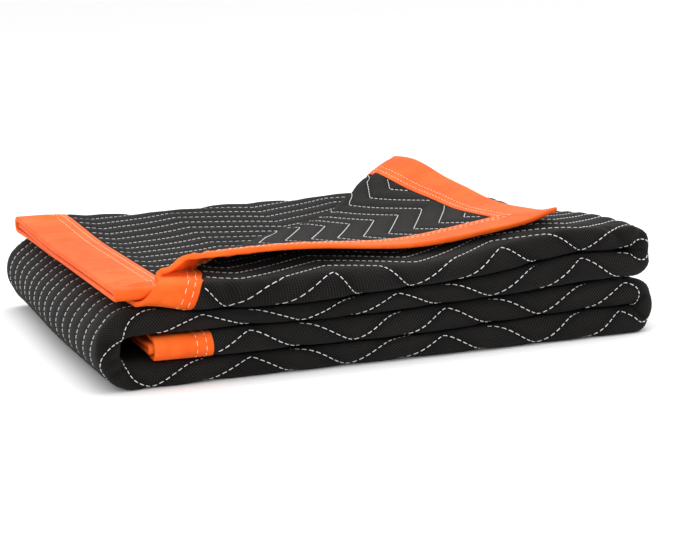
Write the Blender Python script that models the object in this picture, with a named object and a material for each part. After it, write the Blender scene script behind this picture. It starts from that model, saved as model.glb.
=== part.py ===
"""A quilted moving pad, folded four by four, with its top corner turned over.

The pad is followed in its own flat coordinates: u runs along its length and v across its
width. Across its width it is rolled into a strip of four plies. The strip is then laid
back and forth in four lengths. The corner of the top ply is turned over diagonally.
All sizes are in metres, and the pad stands on z = 0.
"""

import collections
import math

import bmesh
import bpy
import numpy as np

# The pad and its tape, as made
PAD_LENGTH = 2.032
PAD_WIDTH = 1.829
PLY = 0.0045
BINDING_WIDTH = 0.050
TAPE = 0.0008
SEAM_GAP = 0.0004

# The fold across the width: four plies, a little apart
PITCH = 0.0056
PLY_DEPTH = 0.448
HALF_STRIP = 1.5 * PITCH

# The fold along the length: heights of the four lengths, lowest first
STRIP_PITCH = 0.0233
LOWEST_STRIP = HALF_STRIP + PLY / 2
LENGTH_HEIGHTS = tuple(LOWEST_STRIP + STRIP_PITCH * k for k in range(4))
NOSE_X = 0.024
TAB_X = 0.044
STACK_HEIGHT = LENGTH_HEIGHTS[3] + LOWEST_STRIP

# The turned-over corner of the top ply
CORNER_X = 0.050
LOWER_END_X = 0.028
FLAP_SETBACK = 0.008
FLAP_SQUEEZE = 0.85
FLAP_ROLL = 0.0036
PEAK_ROLL = 0.0155
ROLL_GROWS_FROM = 0.37
ROLL_GROWS_OVER = 0.25
FLAP_SWING = 0.017
FRONT_LOFT = 0.018
FRONT_LOFT_X = 0.140
FRONT_LOFT_SPREAD = 0.110
FRONT_LOFT_DEPTH = 0.080
PEAK_LOFT = 0.015
PEAK_LOFT_OVER = 0.075
PEAK_LOFT_ALONG = 0.540
PEAK_LOFT_SPREAD = 0.048
TIP_CURL = 0.007
TIP_SPREAD = 0.020
EASE = 0.018

# How the stack has settled
BACK_PUFF = 0.006
BACK_PUFF_FROM = 0.25
BACK_PUFF_OVER = 0.19
RIGHT_END_PUFF = 0.015
RIGHT_END_FROM = 0.26
RIGHT_END_OVER = 0.24
RIGHT_BACK_SINK = 0.018
RIGHT_BACK_FROM = 0.05
RIGHT_BACK_OVER = 0.25
TURN_SINK = 0.0085
TURN_SINK_FROM = 0.40
TURN_SINK_OVER = 0.08
TURN_SQUASH = 0.007
TURN_SQUASH_FROM = 0.40
TURN_SQUASH_OVER = 0.10
CORNER_DROOP = 0.012
CORNER_DROOP_X = 0.39
CORNER_DROOP_X_OVER = 0.08
CORNER_DROOP_Y = 0.32
CORNER_DROOP_Y_OVER = 0.13
ROLL_SLUMP = 0.007
ROLL_SLUMP_FROM = 0.035
ROLL_SLUMP_OVER = 0.045
ROLL_SLUMP_UNTIL = 0.110
ROLL_SLUMP_FADE = 0.260
SAG = 0.009
SAG_LENGTH = 0.50
WAVE_HEIGHT = 0.0012
WAVE_LENGTH = 0.170
SWAY = 0.003
SWAY_HEIGHT = 0.052
SWAY_LENGTH = 0.640

# The middle of the settled stack, which stands over the origin
CENTRE_X = 0.2404
CENTRE_Y = 0.2190

# The grid that carries the shape
TAPER = 0.008
PEAK_BEFORE = 0.110
PEAK_AFTER = 0.020
STEP = 0.0004

BLACK_CLOTH = (0.011, 0.010, 0.0095)
ORANGE_TAPE = (0.90, 0.155, 0.028)

Leg = collections.namedtuple("Leg", "name length radius sweep")


def run(name, length):
    """A straight leg."""
    return Leg(name, length, 0.0, 0.0)


def turn(name, radius, way, outermost):
    """A half turn to the left (way 1) or right (-1), measured along its outermost ply."""
    return Leg(name, math.pi * outermost, radius, way * math.pi)


def section_legs():
    """The strip's cross-section, from the pad's free side edge to the one rolled inside."""
    legs = [
        run("first ply", PLY_DEPTH),
        turn("outer front roll", HALF_STRIP, 1, HALF_STRIP),
        run("second ply", PLY_DEPTH - 0.004),
        turn("back fold", PITCH, 1, PITCH),
        run("third ply", PLY_DEPTH - 0.005),
        turn("inner front roll", PITCH / 2, 1, PITCH / 2),
    ]
    used = sum(leg.length for leg in legs)
    return (*legs, run("fourth ply", PAD_WIDTH - used))


def strip_legs():
    """The strip's course through the stack, from its end on top to its end inside."""
    lowest, third, second, top = LENGTH_HEIGHTS
    upper, left, lower = (top - second) / 2, (second - lowest) / 2, (third - lowest) / 2
    turns = math.pi * (upper + left + lower + 3 * HALF_STRIP)
    reach = (PAD_LENGTH - turns + 2 * NOSE_X + TAB_X) / 4
    return (
        run("top length", reach),
        turn("upper right turn", upper, -1, upper + HALF_STRIP),
        run("second length", reach - NOSE_X),
        turn("left nose", left, 1, left + HALF_STRIP),
        run("lowest length", reach - NOSE_X),
        turn("lower right turn", lower, 1, lower + HALF_STRIP),
        run("third length", reach - TAB_X),
    )


SECTION = section_legs()
STRIP = strip_legs()
TOP_RUN = STRIP[0].length
FRONT_ROLL_V = PLY_DEPTH + SECTION[1].length / 2
BACK_FOLD_V = sum(leg.length for leg in SECTION[:3]) + SECTION[3].length / 2
TAB_RUN_U = PAD_LENGTH - STRIP[6].length

# How far each ply's end stands in from the strip's, at the top end and at the tab
EndRow = collections.namedtuple("EndRow", "v top_end tab_end")
ENDS = (
    EndRow(0.0, CORNER_X, 0.0),
    EndRow(PLY_DEPTH, CORNER_X, 0.0),
    EndRow(PLY_DEPTH + SECTION[1].length, LOWER_END_X, 0.0),
    EndRow(BACK_FOLD_V, 0.010, 0.004),
    EndRow(PAD_WIDTH, 0.012, 0.012),
)


def follow(legs, start, heading, distance):
    """Points and headings at each distance along legs that join smoothly."""
    across = np.full(distance.shape, start[0])
    up = np.full(distance.shape, start[1])
    angle = np.full(distance.shape, heading)
    begin = 0.0
    for i, leg in enumerate(legs):
        low = -np.inf if i == 0 else 0.0
        high = np.inf if i == len(legs) - 1 else leg.length
        done = np.clip(distance - begin, low, high)
        if leg.radius:
            after = angle + leg.sweep * done / leg.length
            radius = math.copysign(leg.radius, leg.sweep)
            across = across + radius * (np.sin(after) - np.sin(angle))
            up = up - radius * (np.cos(after) - np.cos(angle))
            angle = after
        else:
            across = across + done * np.cos(angle)
            up = up + done * np.sin(angle)
        begin += leg.length
    return across, up, angle


def smooth(t):
    """A step from 0 to 1 that starts and ends level."""
    t = np.clip(t, 0.0, 1.0)
    return t * t * (3.0 - 2.0 * t)


def roll_radius(along):
    """The radius of the corner's fold, which opens out towards its peak at the back."""
    grown = smooth((along - ROLL_GROWS_FROM) / ROLL_GROWS_OVER)
    return FLAP_ROLL + (PEAK_ROLL - FLAP_ROLL) * grown


def turned_over(x, y):
    """Where the top ply's points go as its corner is turned over, and how far they rise."""
    across = (x - CORNER_X) / FLAP_SQUEEZE
    back = y - FLAP_SETBACK
    beyond = (back - across) / math.sqrt(2)
    along = (back + across) / math.sqrt(2)
    radius = roll_radius(along)
    angle = np.clip(beyond / radius, 0.0, math.pi)
    over = np.maximum(beyond - math.pi * radius, 0.0)
    aside = np.minimum(beyond, 0.0) + radius * np.sin(angle) - over
    across = (along - aside) / math.sqrt(2)
    back = (along + aside) / math.sqrt(2)
    lying = smooth(over / EASE)
    x = CORNER_X + across * FLAP_SQUEEZE
    y = FLAP_SETBACK + back + lying * FLAP_SWING * across / PLY_DEPTH
    front = np.exp(-(((x - FRONT_LOFT_X) / FRONT_LOFT_SPREAD) ** 2) / 2)
    front = front * np.exp(-np.maximum(y, 0.0) / FRONT_LOFT_DEPTH)
    tip_x = CORNER_X + FLAP_SQUEEZE * PLY_DEPTH
    tip = np.exp(-((x - tip_x) ** 2 + y**2) / (2 * TIP_SPREAD**2))
    off_peak = np.hypot(over - PEAK_LOFT_OVER, along - PEAK_LOFT_ALONG)
    puffed = np.exp(-((off_peak / PEAK_LOFT_SPREAD) ** 2) / 2)
    lift = FRONT_LOFT * front + TIP_CURL * tip + PEAK_LOFT * puffed
    return x, y, radius * (1.0 - np.cos(angle)) + lying * lift


def middle(u, v):
    """The pad's mid-surface at u along it and v across it, as an array of points."""
    x, z, tilt = follow(STRIP, (0.0, LENGTH_HEIGHTS[3]), 0.0, u)
    y, lift, _ = follow(SECTION, (PLY_DEPTH, HALF_STRIP), math.pi, v)
    x = x - np.sin(tilt) * lift
    z = z + np.cos(tilt) * lift
    rows = [row.v for row in ENDS]
    at_top = np.clip(1.0 - u / TOP_RUN, 0.0, 1.1)
    at_tab = np.clip((u - TAB_RUN_U) / (PAD_LENGTH - TAB_RUN_U), 0.0, 1.1)
    x = x + at_top * np.interp(v, rows, [row.top_end for row in ENDS])
    x = x - at_tab * np.interp(v, rows, [row.tab_end for row in ENDS])
    turned = turned_over(x, y)
    on_top = (u < TOP_RUN) & (v < PLY_DEPTH)
    x, y = np.where(on_top, turned[0], x), np.where(on_top, turned[1], y)
    z = np.where(on_top, z + turned[2], z)
    return np.stack([x, y, z], axis=-1)


def normal(u, v):
    """The mid-surface's unit normal, up on the top ply."""
    along = middle(u + STEP, v) - middle(u - STEP, v)
    across = middle(u, v + STEP) - middle(u, v - STEP)
    n = np.cross(across, along)
    return n / np.linalg.norm(n, axis=-1, keepdims=True)


def slump(x, z):
    """How far the top length has sunk into the length below it, near the left end."""
    bottom, top = LENGTH_HEIGHTS[2] - LOWEST_STRIP, STACK_HEIGHT
    place = np.clip((z - bottom) / (top - bottom), 0.0, 1.0)
    left = smooth((x - ROLL_SLUMP_FROM) / ROLL_SLUMP_OVER)
    fade = 1.0 - smooth((x - ROLL_SLUMP_UNTIL) / ROLL_SLUMP_FADE)
    return ROLL_SLUMP * np.sin(math.pi * place) ** 2 * left * fade


def settled(points):
    """Points moved as the stack has sunk, puffed and swayed, over a base that stays flat."""
    x, y, z = points[..., 0], points[..., 1], points[..., 2]
    share = z / STACK_HEIGHT
    z = z - slump(x, z)
    z = z + BACK_PUFF * smooth((y - BACK_PUFF_FROM) / BACK_PUFF_OVER) * share
    right = smooth((x - RIGHT_END_FROM) / RIGHT_END_OVER)
    behind = smooth((y - RIGHT_BACK_FROM) / RIGHT_BACK_OVER)
    turned = smooth((x - TURN_SINK_FROM) / TURN_SINK_OVER)
    corner = smooth((x - CORNER_DROOP_X) / CORNER_DROOP_X_OVER)
    corner = corner * smooth((y - CORNER_DROOP_Y) / CORNER_DROOP_Y_OVER)
    sunk = np.sin(math.pi * np.clip(x / SAG_LENGTH, 0.0, 1.0))
    z = z + share * (RIGHT_END_PUFF * right - SAG * sunk)
    z = z - share * (RIGHT_BACK_SINK * behind * right + TURN_SINK * turned)
    z = z - share * CORNER_DROOP * corner
    x = x - TURN_SQUASH * smooth((x - TURN_SQUASH_FROM) / TURN_SQUASH_OVER)
    wave = np.sin(math.tau * (x / WAVE_LENGTH + share))
    z = z + WAVE_HEIGHT * wave * np.clip(share, 0.0, 1.0)
    front = 1.0 - smooth(y / PLY_DEPTH)
    y = y + SWAY * front * np.sin(math.tau * (z / SWAY_HEIGHT + x / SWAY_LENGTH))
    return np.stack([x - CENTRE_X, y - CENTRE_Y, z], axis=-1)


def surface(u, v, offset):
    """The pad's surface at a height above or below its mid-surface."""
    return settled(middle(u, v) + normal(u, v) * np.asarray(offset)[..., None])


def even(start, end, parts):
    """The ends of equal parts between two values, without the first."""
    return [start + (end - start) * (k + 1) / parts for k in range(parts)]


def closing(start, end, parts):
    """The ends of parts between two values, short at both ends, without the first."""
    turned = [math.pi * (k + 1) / parts for k in range(parts)]
    return [start + (end - start) * (1.0 - math.cos(angle)) / 2 for angle in turned]


def length_stations():
    """Stations along the pad: close at its turns, its binding and the flap's peak."""
    edge = BINDING_WIDTH + TAPER
    peak_u = (FLAP_SQUEEZE * (PLY_DEPTH - FLAP_SETBACK)) / (1 - CORNER_X / TOP_RUN)
    stations = [0.0, BINDING_WIDTH / 2, BINDING_WIDTH, edge]
    stations += even(edge, peak_u - PEAK_BEFORE, 5)
    stations += even(peak_u - PEAK_BEFORE, peak_u + PEAK_AFTER, 9)
    stations += even(peak_u + PEAK_AFTER, TOP_RUN, 1)
    begin = TOP_RUN
    for k, (leg, count) in enumerate(zip(STRIP[1:], (6, 11, 7, 7, 6, 7))):
        last = begin + leg.length - (edge if k == len(STRIP) - 2 else 0.0)
        parts = even if leg.radius else closing
        stations += parts(begin, last, count)
        begin += leg.length
    inner = PAD_LENGTH - BINDING_WIDTH
    return np.array([*stations, inner, inner + BINDING_WIDTH / 2, PAD_LENGTH])


def width_stations(u):
    """Stations across the pad at u: on the top ply they keep to the corner's fold."""
    edge = BINDING_WIDTH + TAPER
    across = (min(u, TOP_RUN) + CORNER_X * (1 - u / TOP_RUN) - CORNER_X) / FLAP_SQUEEZE
    fold = min(max(PLY_DEPTH - FLAP_SETBACK - across, edge + 0.075), PLY_DEPTH - 0.012)
    roll = math.sqrt(2) * math.pi * roll_radius(math.sqrt(2) * across)
    wide = min(roll, fold - edge - 0.03)
    stations = [0.0, *even(0.0, BINDING_WIDTH, 4), edge]
    stations += even(edge, fold - wide, 3)
    stations += even(fold - wide, fold, 5)
    stations += even(fold, PLY_DEPTH, 3)
    begin = PLY_DEPTH
    for leg, count in zip(SECTION[1:], (6, 5, 4, 5, 3, 4)):
        parts = even if leg.radius else closing
        stations += parts(begin, begin + leg.length, count)
        begin += leg.length
    return np.array(stations)


class Grid:
    """The pad's stations, and the points that its pieces share."""

    def __init__(self):
        along = length_stations()
        self.v = np.array([width_stations(u) for u in along])
        self.u = np.repeat(along[:, None], self.v.shape[1], axis=1)
        self.rows, self.columns = self.u.shape

    def layer(self, offset, beyond=0.0):
        """Points at a height off the mid-surface, with the edges moved out by beyond."""
        u, v = self.u.copy(), self.v.copy()
        u[0] -= beyond
        u[-1] += beyond
        v[:, 0] -= beyond
        return surface(u, v, np.broadcast_to(offset, u.shape))

    def to_edge(self):
        """How far each station is from the nearest bound edge."""
        return np.minimum(np.minimum(self.u, PAD_LENGTH - self.u), self.v)


def cell_corners(j, i):
    """A cell's corners in order, so that its diagonal runs along the corner's fold."""
    return ((j + 1, i), (j + 1, i + 1), (j, i + 1), (j, i))


def boundary(cells):
    """The sides that only one of the cells has, each as two corners."""
    sides = collections.Counter()
    for cell in cells:
        corners = cell_corners(*cell)
        for a, b in zip(corners, corners[1:] + corners[:1]):
            sides[tuple(sorted((a, b)))] += 1
    return [side for side, uses in sides.items() if uses == 1]


def solid(name, layers, quads, colour, roughness):
    """An object from named layers of points and quads of (layer, station) corners."""
    bm = bmesh.new()
    made = {}

    def vertex(corner):
        if corner not in made:
            layer, station = corner
            made[corner] = bm.verts.new(layers[layer][station])
        return made[corner]

    for quad in quads:
        a, b, c, d = [vertex(corner) for corner in quad]
        bm.faces.new((a, b, c))
        bm.faces.new((a, c, d))
    bmesh.ops.recalc_face_normals(bm, faces=bm.faces)
    mesh = bpy.data.meshes.new(name)
    bm.to_mesh(mesh)
    bm.free()
    mesh.shade_smooth()
    mesh.set_sharp_from_angle(angle=math.radians(50))
    obj = bpy.data.objects.new(name, mesh)
    bpy.context.collection.objects.link(obj)
    obj.data.materials.append(finish(name, colour, roughness))
    return obj


def finish(name, colour, roughness):
    """A Principled material."""
    material = bpy.data.materials.new(name)
    material.use_nodes = True
    shader = material.node_tree.nodes["Principled BSDF"]
    shader.inputs["Base Color"].default_value = (*colour, 1.0)
    shader.inputs["Roughness"].default_value = roughness
    shader.inputs["Metallic"].default_value = 0.0
    return material


def make_quilt(grid):
    """The quilted cloth: one closed sheet, pressed thin under its binding."""
    under_tape = PLY / 2 - TAPE - SEAM_GAP
    half = np.where(grid.to_edge() < BINDING_WIDTH + TAPER / 2, under_tape, PLY / 2)
    layers = {"top": grid.layer(half), "bottom": grid.layer(-half)}
    cells = [(j, i) for j in range(grid.rows - 1) for i in range(grid.columns - 1)]
    quads = [[(layer, c) for c in cell_corners(*cell)] for cell in cells for layer in layers]
    quads += [[("top", a), ("top", b), ("bottom", b), ("bottom", a)] for a, b in boundary(cells)]
    return solid("quilted_pad", layers, quads, BLACK_CLOTH, 0.92)


def make_binding(grid):
    """The tape folded over the pad's edges, except the side rolled inside."""
    outer, inner = PLY / 2, PLY / 2 - TAPE
    rim_out, rim_in = SEAM_GAP + TAPE, SEAM_GAP
    layers = {
        "top": grid.layer(outer, rim_out),
        "under top": grid.layer(inner, rim_in),
        "over bottom": grid.layer(-inner, rim_in),
        "bottom": grid.layer(-outer, rim_out),
    }
    bound = grid.to_edge() < BINDING_WIDTH - TAPER / 2
    cells = [
        (j, i)
        for j in range(grid.rows - 1)
        for i in range(grid.columns - 1)
        if bound[[c[0] for c in cell_corners(j, i)], [c[1] for c in cell_corners(j, i)]].any()
    ]
    quads = [[(layer, c) for c in cell_corners(*cell)] for cell in cells for layer in layers]
    last = grid.rows - 1
    for a, b in boundary(cells):
        on_rim = a[1] == b[1] == 0 or a[0] == b[0] in (0, last)
        if on_rim:
            pairs = (("top", "bottom"), ("under top", "over bottom"))
        else:
            pairs = (("top", "under top"), ("bottom", "over bottom"))
        quads += [[(p, a), (p, b), (q, b), (q, a)] for p, q in pairs]
    for j in (0, last):
        quads.append([(layer, (j, grid.columns - 1)) for layer in layers])
    return solid("edge_binding", layers, quads, ORANGE_TAPE, 0.6)


def clear_scene():
    """Removes what the startup scene holds."""
    for obj in list(bpy.data.objects):
        bpy.data.objects.remove(obj, do_unlink=True)


def main():
    clear_scene()
    grid = Grid()
    make_quilt(grid)
    make_binding(grid)


main()
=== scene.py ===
"""Dresses the folded moving pad: quilted cloth, taped edges, their stitches and a plain studio.

Every piece follows one mapping. A point of the pad is known by u, its place along the
pad's length, v, its place across the width, and its height off the cloth's middle. PadFold
lays that point where it lies in the folded stack. All sizes are in metres.
"""

from __future__ import annotations

import logging
import math
from collections.abc import Callable, Iterable, Sequence
from dataclasses import dataclass, field
from enum import Enum

import bmesh
import bpy
import numpy as np
from mathutils import Matrix, Vector

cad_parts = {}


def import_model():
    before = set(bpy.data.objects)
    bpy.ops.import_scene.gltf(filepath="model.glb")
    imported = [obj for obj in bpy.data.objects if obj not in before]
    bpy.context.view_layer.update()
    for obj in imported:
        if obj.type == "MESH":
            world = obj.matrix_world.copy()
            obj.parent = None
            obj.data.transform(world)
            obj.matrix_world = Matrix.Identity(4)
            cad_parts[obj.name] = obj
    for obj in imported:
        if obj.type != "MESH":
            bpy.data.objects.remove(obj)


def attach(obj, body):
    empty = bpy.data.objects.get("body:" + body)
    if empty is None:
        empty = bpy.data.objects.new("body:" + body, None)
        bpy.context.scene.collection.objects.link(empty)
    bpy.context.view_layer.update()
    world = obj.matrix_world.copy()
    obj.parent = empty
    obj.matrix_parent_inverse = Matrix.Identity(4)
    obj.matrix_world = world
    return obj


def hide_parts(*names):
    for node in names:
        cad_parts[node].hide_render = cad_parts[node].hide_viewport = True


log = logging.getLogger("moving_pad")

Array = np.ndarray
Colour = tuple[float, float, float]
PlaceRule = Callable[[Array, Array], Array]


def smooth(t: Array | float) -> Array:
    """A step from 0 to 1 that starts and ends level.

    Args:
        t: The place along the step, where 0 is its start and 1 its end.

    Returns:
        The height of the step there.
    """
    t = np.clip(t, 0.0, 1.0)
    return t * t * (3.0 - 2.0 * t)


def bell(t: Array | float) -> Array:
    """A soft hump of height 1 over t = 0, one unit wide to each side."""
    return np.exp(-np.square(t))


@dataclass(frozen=True)
class Leg:
    """One straight run or half turn of a course that the cloth follows.

    A run has no radius. The sweep of a turn is positive to the left.
    """

    length: float
    radius: float = 0.0
    sweep: float = 0.0


def half_turn(radius: float, way: int, outermost: float) -> Leg:
    """A half turn, measured along its outermost ply.

    Args:
        radius: The radius that the middle of the course keeps.
        way: 1 for a turn to the left and -1 for one to the right.
        outermost: The radius of the outermost ply.

    Returns:
        The leg.
    """
    return Leg(math.pi * outermost, radius, way * math.pi)


@dataclass(frozen=True)
class EndRow:
    """How far the plies at v stand in from the strip's two ends."""

    v: float
    top_end: float
    tab_end: float


@dataclass(frozen=True)
class Tug:
    """A soft pull on the cloth round one of its places."""

    place: tuple[float, float]
    shift: tuple[float, float, float]
    spread: tuple[float, float]

    def moved(self, u: Array, v: Array) -> Array:
        """How far the pull moves each point, as an array of vectors."""
        away = np.hypot((u - self.place[0]) / self.spread[0], (v - self.place[1]) / self.spread[1])
        return bell(away)[..., None] * np.array(self.shift)


@dataclass
class PadFold:
    """The pad's flat size, the course of its folds and the pulls on its loose corners."""

    tugs: tuple[Tug, ...] = ()
    length: float = 2.032
    width: float = 1.829
    ply: float = 0.0045
    pitch: float = 0.0056
    ply_depth: float = 0.448
    second_ply_short: float = 0.004
    third_ply_short: float = 0.005
    strip_pitch: float = 0.0233
    nose_x: float = 0.024
    tab_x: float = 0.044
    corner_x: float = 0.050
    lower_end_x: float = 0.028
    back_end_x: float = 0.010
    back_tab_x: float = 0.004
    inner_end_x: float = 0.012
    end_share_limit: float = 1.1
    flap_setback: float = 0.008
    flap_squeeze: float = 0.85
    flap_roll: float = 0.0036
    peak_roll: float = 0.0155
    roll_grows_from: float = 0.37
    roll_grows_over: float = 0.25
    flap_swing: float = 0.017
    front_loft: float = 0.018
    front_loft_x: float = 0.140
    front_loft_spread: float = 0.110
    front_loft_depth: float = 0.080
    peak_loft: float = 0.015
    peak_loft_over: float = 0.075
    peak_loft_along: float = 0.540
    peak_loft_spread: float = 0.048
    tip_curl: float = 0.007
    tip_spread: float = 0.020
    ease: float = 0.018
    back_puff: float = 0.006
    back_puff_from: float = 0.25
    back_puff_over: float = 0.19
    right_end_puff: float = 0.015
    right_end_from: float = 0.26
    right_end_over: float = 0.24
    right_back_sink: float = 0.018
    right_back_from: float = 0.05
    right_back_over: float = 0.25
    turn_sink: float = 0.0085
    turn_sink_from: float = 0.40
    turn_sink_over: float = 0.08
    turn_squash: float = 0.007
    turn_squash_from: float = 0.40
    turn_squash_over: float = 0.10
    corner_droop: float = 0.012
    corner_droop_x: float = 0.39
    corner_droop_x_over: float = 0.08
    corner_droop_y: float = 0.32
    corner_droop_y_over: float = 0.13
    roll_slump: float = 0.007
    roll_slump_from: float = 0.035
    roll_slump_over: float = 0.045
    roll_slump_until: float = 0.110
    roll_slump_fade: float = 0.260
    nose_tuck: float = 0.006
    nose_tuck_from: float = 0.16
    nose_tuck_over: float = 0.28
    nose_tuck_depth: float = 0.070
    nose_tuck_top: float = 0.70
    nose_tuck_blend: float = 0.10
    sag: float = 0.009
    sag_length: float = 0.50
    wave_height: float = 0.0012
    wave_length: float = 0.170
    sway: float = 0.003
    sway_height: float = 0.052
    sway_length: float = 0.640
    centre_x: float = 0.2404
    centre_y: float = 0.2190
    corner_radius: float = 0.012
    step: float = 0.0004
    section: tuple[Leg, ...] = field(init=False)
    strip: tuple[Leg, ...] = field(init=False)
    ends: tuple[EndRow, ...] = field(init=False)

    def __post_init__(self) -> None:
        """Works out the legs from the sizes."""
        self.half_strip = 1.5 * self.pitch
        self.heights = [self.half_strip + self.ply / 2 + self.strip_pitch * k for k in range(4)]
        self.stack_height = self.heights[3] + self.heights[0]
        self.section = self.section_legs()
        self.strip = self.strip_legs()
        self.section_ends = np.cumsum([0.0] + [leg.length for leg in self.section])
        self.strip_ends = np.cumsum([0.0] + [leg.length for leg in self.strip])
        self.front_roll_v = self.section_ends[1] + self.section[1].length / 2
        self.back_fold_v = self.section_ends[3] + self.section[3].length / 2
        self.tab_run_u = self.strip_ends[6]
        self.ends = (
            EndRow(0.0, self.corner_x, 0.0),
            EndRow(self.ply_depth, self.corner_x, 0.0),
            EndRow(self.section_ends[2], self.lower_end_x, 0.0),
            EndRow(self.back_fold_v, self.back_end_x, self.back_tab_x),
            EndRow(self.width, self.inner_end_x, self.inner_end_x),
        )

    def section_legs(self) -> tuple[Leg, ...]:
        """The strip's cross-section.

        Returns:
            The legs of its four plies, from the free side edge inwards.
        """
        legs = [
            Leg(self.ply_depth),
            half_turn(self.half_strip, 1, self.half_strip),
            Leg(self.ply_depth - self.second_ply_short),
            half_turn(self.pitch, 1, self.pitch),
            Leg(self.ply_depth - self.third_ply_short),
            half_turn(self.pitch / 2, 1, self.pitch / 2),
        ]
        return (*legs, Leg(self.width - sum(leg.length for leg in legs)))

    def strip_legs(self) -> tuple[Leg, ...]:
        """The strip's course through the stack.

        Returns:
            The legs, from the strip's end on top to its end inside.
        """
        lowest, third, second, top = self.heights
        upper, left, lower = (top - second) / 2, (second - lowest) / 2, (third - lowest) / 2
        turns = math.pi * (upper + left + lower + 3 * self.half_strip)
        reach = (self.length - turns + 2 * self.nose_x + self.tab_x) / 4
        return (
            Leg(reach),
            half_turn(upper, -1, upper + self.half_strip),
            Leg(reach - self.nose_x),
            half_turn(left, 1, left + self.half_strip),
            Leg(reach - self.nose_x),
            half_turn(lower, 1, lower + self.half_strip),
            Leg(reach - self.tab_x),
        )

    @staticmethod
    def follow(
        legs: Sequence[Leg], start: tuple[float, float], heading: float, distance: Array
    ) -> tuple[Array, Array, Array]:
        """Points and headings along a course.

        Args:
            legs: The legs, which join smoothly.
            start: Where the course starts.
            heading: The angle that it starts at.
            distance: How far along it each point is.

        Returns:
            Each point's place across and up, and its heading.
        """
        across = np.full(distance.shape, start[0])
        up = np.full(distance.shape, start[1])
        angle = np.full(distance.shape, heading)
        begin = 0.0
        for i, leg in enumerate(legs):
            low = -np.inf if i == 0 else 0.0
            high = np.inf if i == len(legs) - 1 else leg.length
            done = np.clip(distance - begin, low, high)
            if leg.radius:
                after = angle + leg.sweep * done / leg.length
                radius = math.copysign(leg.radius, leg.sweep)
                across = across + radius * (np.sin(after) - np.sin(angle))
                up = up - radius * (np.cos(after) - np.cos(angle))
                angle = after
            else:
                across = across + done * np.cos(angle)
                up = up + done * np.sin(angle)
            begin += leg.length
        return across, up, angle

    def turned_over(self, x: Array, y: Array) -> tuple[Array, Array, Array]:
        """Where the top ply's points go as its corner is turned over.

        Args:
            x: Each point's place along the stack, before the corner is turned.
            y: Its place from the front to the back.

        Returns:
            The new x and y, and how far each point rises.
        """
        across = (x - self.corner_x) / self.flap_squeeze
        back = y - self.flap_setback
        beyond = (back - across) / math.sqrt(2)
        along = (back + across) / math.sqrt(2)
        grown = smooth((along - self.roll_grows_from) / self.roll_grows_over)
        radius = self.flap_roll + (self.peak_roll - self.flap_roll) * grown
        angle = np.clip(beyond / radius, 0.0, math.pi)
        over = np.maximum(beyond - math.pi * radius, 0.0)
        aside = np.minimum(beyond, 0.0) + radius * np.sin(angle) - over
        across = (along - aside) / math.sqrt(2)
        back = (along + aside) / math.sqrt(2)
        lying = smooth(over / self.ease)
        x = self.corner_x + across * self.flap_squeeze
        y = self.flap_setback + back + lying * self.flap_swing * across / self.ply_depth
        front = np.exp(-(((x - self.front_loft_x) / self.front_loft_spread) ** 2) / 2)
        front = front * np.exp(-np.maximum(y, 0.0) / self.front_loft_depth)
        tip_x = self.corner_x + self.flap_squeeze * self.ply_depth
        tip = np.exp(-((x - tip_x) ** 2 + y**2) / (2 * self.tip_spread**2))
        off_peak = np.hypot(over - self.peak_loft_over, along - self.peak_loft_along)
        puffed = np.exp(-((off_peak / self.peak_loft_spread) ** 2) / 2)
        lift = self.front_loft * front + self.tip_curl * tip + self.peak_loft * puffed
        return x, y, radius * (1.0 - np.cos(angle)) + lying * lift

    def middle(self, u: Array, v: Array) -> Array:
        """The cloth's middle, in the stack before it has settled.

        Args:
            u: Each point's place along the pad.
            v: Its place across the pad.

        Returns:
            The points.
        """
        x, z, tilt = self.follow(self.strip, (0.0, self.heights[3]), 0.0, u)
        y, lift, _ = self.follow(self.section, (self.ply_depth, self.half_strip), math.pi, v)
        x = x - np.sin(tilt) * lift
        z = z + np.cos(tilt) * lift
        rows = [row.v for row in self.ends]
        top_run = self.strip[0].length
        limit = self.end_share_limit
        at_top = np.clip(1.0 - u / top_run, 0.0, limit)
        at_tab = np.clip((u - self.tab_run_u) / (self.length - self.tab_run_u), 0.0, limit)
        x = x + at_top * np.interp(v, rows, [row.top_end for row in self.ends])
        x = x - at_tab * np.interp(v, rows, [row.tab_end for row in self.ends])
        turned_x, turned_y, rise = self.turned_over(x, y)
        on_top = (u < top_run) & (v < self.ply_depth)
        x = np.where(on_top, turned_x, x)
        y = np.where(on_top, turned_y, y)
        z = np.where(on_top, z + rise, z)
        return np.stack([x, y, z], axis=-1)

    def normal(self, u: Array, v: Array) -> Array:
        """The unit normal of the cloth's middle, which points up on the top ply.

        Args:
            u: Each point's place along the pad.
            v: Its place across the pad.

        Returns:
            The normals.
        """
        along = self.middle(u + self.step, v) - self.middle(u - self.step, v)
        across = self.middle(u, v + self.step) - self.middle(u, v - self.step)
        n = np.cross(across, along)
        return n / np.linalg.norm(n, axis=-1, keepdims=True)

    def slump(self, x: Array, z: Array) -> Array:
        """How far the top layer has sunk into the layer below it, near the left end.

        Args:
            x: Each point's place along the stack.
            z: Its height.

        Returns:
            The distance that each point has sunk.
        """
        bottom, top = self.heights[2] - self.heights[0], self.heights[3] + self.heights[0]
        place = np.clip((z - bottom) / (top - bottom), 0.0, 1.0)
        left = smooth((x - self.roll_slump_from) / self.roll_slump_over)
        fade = 1.0 - smooth((x - self.roll_slump_until) / self.roll_slump_fade)
        return self.roll_slump * np.sin(math.pi * place) ** 2 * left * fade

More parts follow.
